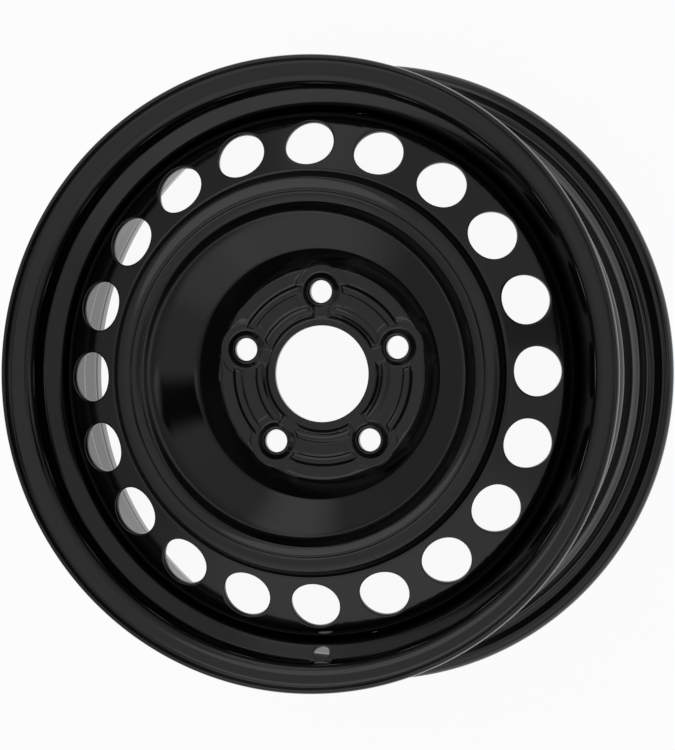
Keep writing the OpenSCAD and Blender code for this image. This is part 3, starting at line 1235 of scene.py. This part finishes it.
@dataclass
class Studio:
    """Camera, floor and soft light."""

    yaw: float = -14.928
    pitch: float = 0.417
    roll: float = 0.8
    eye: Triple = (1081.18, 29.41, 4062.85)
    focal_px: float = 5982.4
    image_long_px: float = 750.0
    sensor: float = 36.0
    clip_end: float = 200.0
    floor_size: float = 60.0
    floor_colour: Triple = (0.93, 0.93, 0.93)
    floor_white: float = 0.94
    room_colour: Triple = (0.97, 0.985, 1.0)
    room_low: float = 0.22
    room_high: float = 0.70
    room_least: float = 0.03
    backdrop: float = 0.75
    backdrop_top: float = 0.18
    lamp_size: float = 2.4
    lamp_energy: float = 10.0
    lamp_place: Triple = (-1.2, 1.4, 2.6)
    lamp_tilt: float = -35.0
    lamp_axis: Triple = (0.65, 0.76, 0.0)

    def camera(self) -> None:
        """Stand the camera where the photograph was taken."""
        pitch, yaw, roll = (
            Matrix.Rotation(math.radians(angle), 4, axis)
            for angle, axis in ((self.pitch, "X"), (self.yaw, "Y"), (self.roll, "Z")))
        eye = roll.transposed() @ Vector(self.eye) * MM
        data = bpy.data.cameras.new("camera")
        data.sensor_width = self.sensor
        data.lens = self.focal_px * self.sensor / self.image_long_px
        data.clip_end = self.clip_end
        camera = bpy.data.objects.new("camera", data)
        camera.matrix_world = Matrix.Translation(eye) @ (pitch @ yaw @ roll).transposed()
        bpy.context.scene.collection.objects.link(camera)
        bpy.context.scene.camera = camera

    def seen_directly(self, tree: Tree) -> Socket:
        """Tell the rays that see the floor straight or in a mirror from the rest.

        Args:
            tree: Node tree of the floor's material.

        Returns:
            Socket that is 1 for camera, mirror and see-through rays, and 0 for others.
        """
        path = add_node(tree, "ShaderNodeLightPath").outputs
        seen = path["Is Camera Ray"]
        for name in ("Is Glossy Ray", "Is Transmission Ray"):
            seen = add_maths(tree, "MAXIMUM", seen, path[name])
        return seen

    def floor(self, level: float) -> None:
        """Lay the pale floor under the wheel.

        Args:
            level: Height of the floor in metres.
        """
        half = self.floor_size / 2
        mesh = bpy.data.meshes.new("floor")
        mesh.from_pydata(
            [(x * half, y * half, level) for x, y in ((-1, -1), (1, -1), (1, 1), (-1, 1))],
            [], [(0, 1, 2, 3)])
        floor = bpy.data.objects.new("floor", mesh)
        material = bpy.data.materials.new("pale_floor")
        material.use_nodes = True
        tree = material.node_tree
        tree.nodes.clear()
        matt = add_node(tree, "ShaderNodeBsdfDiffuse", {"Color": (*self.floor_colour, 1.0)})
        white = add_node(tree, "ShaderNodeEmission")
        share = add_maths(tree, "MULTIPLY", self.seen_directly(tree), self.floor_white)
        mix = add_node(tree, "ShaderNodeMixShader", {
            "Fac": share, 1: matt.outputs[0], 2: white.outputs[0]})
        add_node(tree, "ShaderNodeOutputMaterial", {"Surface": mix.outputs[0]})
        mesh.materials.append(material)
        bpy.context.scene.collection.objects.link(floor)
        floor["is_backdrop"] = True

    def room_strength(self, tree: Tree) -> Socket:
        """Brightness of the room by direction: paler overhead, with soft panels and dark gaps.

        Args:
            tree: Node tree of the world.

        Returns:
            Socket that holds the brightness.
        """
        way = add_node(tree, "ShaderNodeTexCoord").outputs["Generated"]
        up = add_node(tree, "ShaderNodeSeparateXYZ", {0: way}).outputs["Z"]
        total = add_level(tree, up, (0.0, 1.0), (self.room_low, self.room_high), Ramp.EVEN)
        glows = [add_level(tree, up, (self.backdrop_top, 0.0), (0.0, self.backdrop), Ramp.SOFT)]
        for panel in ROOM_PANELS:
            towards = unit(np.array(panel.towards))
            near = add_node(
                tree, "ShaderNodeVectorMath", {0: way, 1: towards}, operation="DOT_PRODUCT")
            edge = math.cos(math.radians(panel.spread))
            glows.append(add_level(
                tree, near.outputs["Value"], (edge, 1.0), (0.0, panel.strength), Ramp.SOFT))
        for glow in glows:
            total = add_maths(tree, "ADD", total, glow)
        return add_maths(tree, "MAXIMUM", total, self.room_least)

    def light(self) -> None:
        """Light the wheel from a pale room with one large soft lamp."""
        world = bpy.data.worlds.new("room")
        bpy.context.scene.world = world
        world.use_nodes = True
        tree = world.node_tree
        tree.nodes.clear()
        room = add_node(tree, "ShaderNodeBackground", {
            "Color": (*self.room_colour, 1.0), "Strength": self.room_strength(tree)})
        add_node(tree, "ShaderNodeOutputWorld", {"Surface": room.outputs[0]})
        data = bpy.data.lights.new("soft_lamp", "AREA")
        data.shape = "DISK"
        data.size = self.lamp_size
        data.energy = self.lamp_energy
        lamp = bpy.data.objects.new("soft_lamp", data)
        tilt = Matrix.Rotation(math.radians(self.lamp_tilt), 4, self.lamp_axis)
        lamp.matrix_world = Matrix.Translation(self.lamp_place) @ tilt
        bpy.context.scene.collection.objects.link(lamp)


VALVE_ANGLE = 270.0
LUG_ANGLE = 90.0


def main() -> None:
    """Build the wheel and its stage."""
    logging.basicConfig(level=logging.INFO, format="%(name)s: %(message)s")
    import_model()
    cad_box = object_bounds()
    bpy.context.scene.view_settings.view_transform = "Standard"
    sheet_paint, weld_paint = SHEET_PAINT.material(), WELD_PAINT.material()
    repeat = RepeatRoundAxis()

    rim = Rim()
    plain, drilled = rim.build()
    hoop = [
        repeat.mesh(plain, "rim_plain", sheet_paint, rim.sectors, VALVE_ANGLE, left_out=1),
        repeat.mesh(drilled, "rim_valve", sheet_paint, 1, VALVE_ANGLE)]
    piece("rolled_rim", hoop, "rim", sheet_paint)

    disc = Disc()
    dished = [
        repeat.mesh(disc.hub(), "disc_hub", sheet_paint, disc.lug_count, LUG_ANGLE),
        repeat.mesh(disc.dish(), "disc_dish", sheet_paint, disc.vent_count, LUG_ANGLE)]
    piece("pressed_disc", dished, "disc", sheet_paint)

    welds = WeldBeads()
    runs = [repeat.mesh(welds.build(), "weld_run", weld_paint, welds.count, 0.0)]
    piece("welds", runs, "weld_beads", weld_paint)

    studio = Studio()
    studio.camera()
    studio.light()
    studio.floor(cad_box[0][2])


if __name__ == "__main__":
    main()
